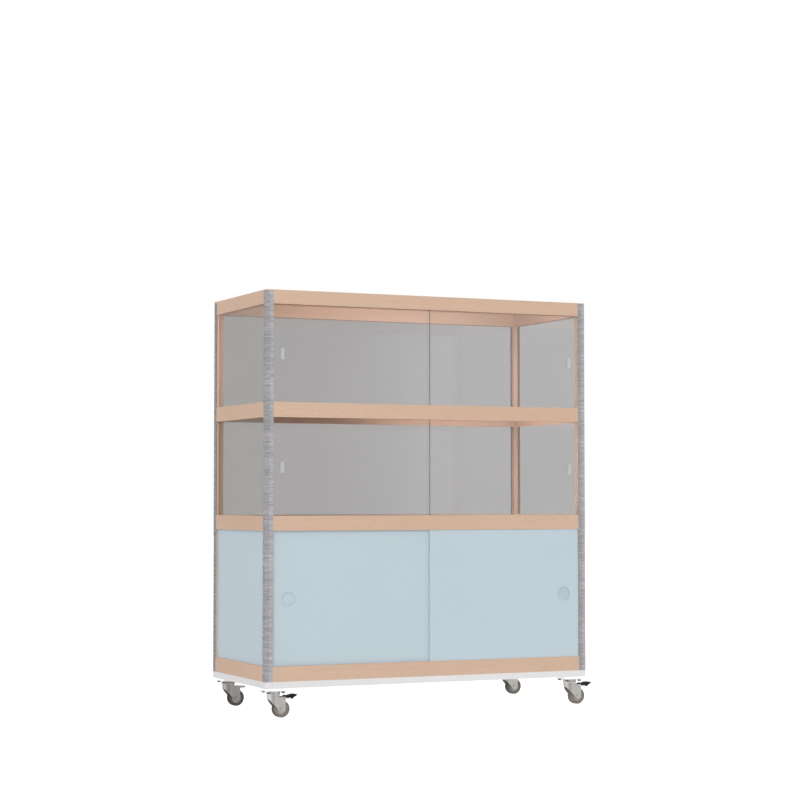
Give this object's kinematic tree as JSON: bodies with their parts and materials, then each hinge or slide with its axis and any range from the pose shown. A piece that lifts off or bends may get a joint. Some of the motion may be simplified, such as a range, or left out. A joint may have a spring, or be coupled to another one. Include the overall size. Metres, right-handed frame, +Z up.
{
  "type": "rolling display cabinet",
  "caption": "Rolling beech-framed cabinet with glazed sliding-door bays over a closed blue bay, on swivel castors with brakes.",
  "frame": {"origin": "on the floor, at the middle of the whole footprint with the castors trailing to the right, brake pedals included; the cabinet's own middle plane is at x = -0.017 m", "axes": "+Z up, -Y out of the front with the sliding doors, +X to the right of someone facing the doors"},
  "size_m": [1.094, 0.45, 1.2445],
  "materials": {
    "beech": "satin lacquer over a fine straight grain",
    "brushed_aluminium": "brushed across the length",
    "tinted_glass": "clear with a light grey tint",
    "blue_laminate": "matt laminate",
    "white_laminate": "matt laminate",
    "white_plastic": "matt",
    "frosted_plastic": "satin",
    "zinc_steel": "zinc plated",
    "grey_plastic": "satin",
    "grey_rubber": "matt",
    "black_plastic": "matt"
  },
  "bodies": {
    "cabinet": {"post_front_left": "beech", "post_front_right": "beech", "post_rear_left": "beech", "post_rear_right": "beech", "post_facings": "brushed_aluminium", "top_front_rail": "beech", "upper_front_rail": "beech", "lower_front_rail": "beech", "bottom_front_rail": "beech", "back_rails": "beech", "left_rails": "beech", "right_rails": "beech", "rail_dowels": "beech", "top_board": "beech", "upper_shelf": "beech", "lower_shelf": "beech", "bottom_shelf": "beech", "shelf_cleats": "beech", "side_glass": "tinted_glass", "back_glass": "tinted_glass", "left_panel": "blue_laminate", "right_panel": "blue_laminate", "back_panel": "blue_laminate", "base_board": "white_laminate", "base_screws": "zinc_steel", "castor_spacers": "white_plastic", "castor_plates": "zinc_steel", "plate_bolts": "zinc_steel"},
    "upper_left_door": {"upper_left_door": "tinted_glass", "upper_left_pull": "frosted_plastic"},
    "upper_right_door": {"upper_right_door": "tinted_glass", "upper_right_pull": "frosted_plastic"},
    "middle_left_door": {"middle_left_door": "tinted_glass", "middle_left_pull": "frosted_plastic"},
    "middle_right_door": {"middle_right_door": "tinted_glass", "middle_right_pull": "frosted_plastic"},
    "lower_left_door": {"lower_left_door": "blue_laminate", "lower_left_cup": "blue_laminate"},
    "lower_right_door": {"lower_right_door": "blue_laminate", "lower_right_cup": "blue_laminate"},
    "front_left_castor": {"front_left_fork": "zinc_steel", "front_left_axle": "zinc_steel", "front_left_pedal_pin": "zinc_steel"},
    "front_left_wheel": {"front_left_wheel": "grey_plastic", "front_left_tyre": "grey_rubber"},
    "front_left_pedal": {"front_left_pedal": "black_plastic"},
    "front_right_castor": {"front_right_fork": "zinc_steel", "front_right_axle": "zinc_steel", "front_right_pedal_pin": "zinc_steel"},
    "front_right_wheel": {"front_right_wheel": "grey_plastic", "front_right_tyre": "grey_rubber"},
    "front_right_pedal": {"front_right_pedal": "black_plastic"},
    "rear_left_castor": {"rear_left_fork": "zinc_steel", "rear_left_axle": "zinc_steel"},
    "rear_left_wheel": {"rear_left_wheel": "grey_plastic", "rear_left_tyre": "grey_rubber"},
    "rear_right_castor": {"rear_right_fork": "zinc_steel", "rear_right_axle": "zinc_steel"},
    "rear_right_wheel": {"rear_right_wheel": "grey_plastic", "rear_right_tyre": "grey_rubber"}
  },
  "joints": [
    {"name": "upper_left_door_slide", "type": "slide", "parent": "cabinet", "child": "upper_left_door", "axis": [1, 0, 0], "range_m": [0, 0.5]},
    {"name": "upper_right_door_slide", "type": "slide", "parent": "cabinet", "child": "upper_right_door", "axis": [-1, 0, 0], "range_m": [0, 0.5]},
    {"name": "middle_left_door_slide", "type": "slide", "parent": "cabinet", "child": "middle_left_door", "axis": [1, 0, 0], "range_m": [0, 0.5]},
    {"name": "middle_right_door_slide", "type": "slide", "parent": "cabinet", "child": "middle_right_door", "axis": [-1, 0, 0], "range_m": [0, 0.5]},
    {"name": "lower_left_door_slide", "type": "slide", "parent": "cabinet", "child": "lower_left_door", "axis": [1, 0, 0], "range_m": [0, 0.5]},
    {"name": "lower_right_door_slide", "type": "slide", "parent": "cabinet", "child": "lower_right_door", "axis": [-1, 0, 0], "range_m": [0, 0.5]},
    {"name": "front_left_swivel", "type": "hinge", "parent": "cabinet", "child": "front_left_castor", "pos_m": [-0.509, -0.19, 0.06], "axis": [0, 0, 1], "continuous": true},
    {"name": "front_left_wheel_spin", "type": "hinge", "parent": "front_left_castor", "child": "front_left_wheel", "pos_m": [-0.486, -0.19, 0.025], "axis": [0, 1, 0], "continuous": true},
    {"name": "front_left_brake", "type": "hinge", "parent": "front_left_castor", "child": "front_left_pedal", "pos_m": [-0.4805, -0.19, 0.057], "axis": [0, 1, 0], "range_deg": [0, 5]},
    {"name": "front_right_swivel", "type": "hinge", "parent": "cabinet", "child": "front_right_castor", "pos_m": [0.475, -0.19, 0.06], "axis": [0, 0, 1], "continuous": true},
    {"name": "front_right_wheel_spin", "type": "hinge", "parent": "front_right_castor", "child": "front_right_wheel", "pos_m": [0.498, -0.19, 0.025], "axis": [0, 1, 0], "continuous": true},
    {"name": "front_right_brake", "type": "hinge", "parent": "front_right_castor", "child": "front_right_pedal", "pos_m": [0.5035, -0.19, 0.057], "axis": [0, 1, 0], "range_deg": [0, 5]},
    {"name": "rear_left_swivel", "type": "hinge", "parent": "cabinet", "child": "rear_left_castor", "pos_m": [-0.509, 0.19, 0.06], "axis": [0, 0, 1], "continuous": true},
    {"name": "rear_left_wheel_spin", "type": "hinge", "parent": "rear_left_castor", "child": "rear_left_wheel", "pos_m": [-0.486, 0.19, 0.025], "axis": [0, 1, 0], "continuous": true},
    {"name": "rear_right_swivel", "type": "hinge", "parent": "cabinet", "child": "rear_right_castor", "pos_m": [0.451, 0.184, 0.06], "axis": [0, 0, 1], "continuous": true},
    {"name": "rear_right_wheel_spin", "type": "hinge", "parent": "rear_right_castor", "child": "rear_right_wheel", "pos_m": [0.474, 0.184, 0.025], "axis": [0, 1, 0], "continuous": true}
  ]
}
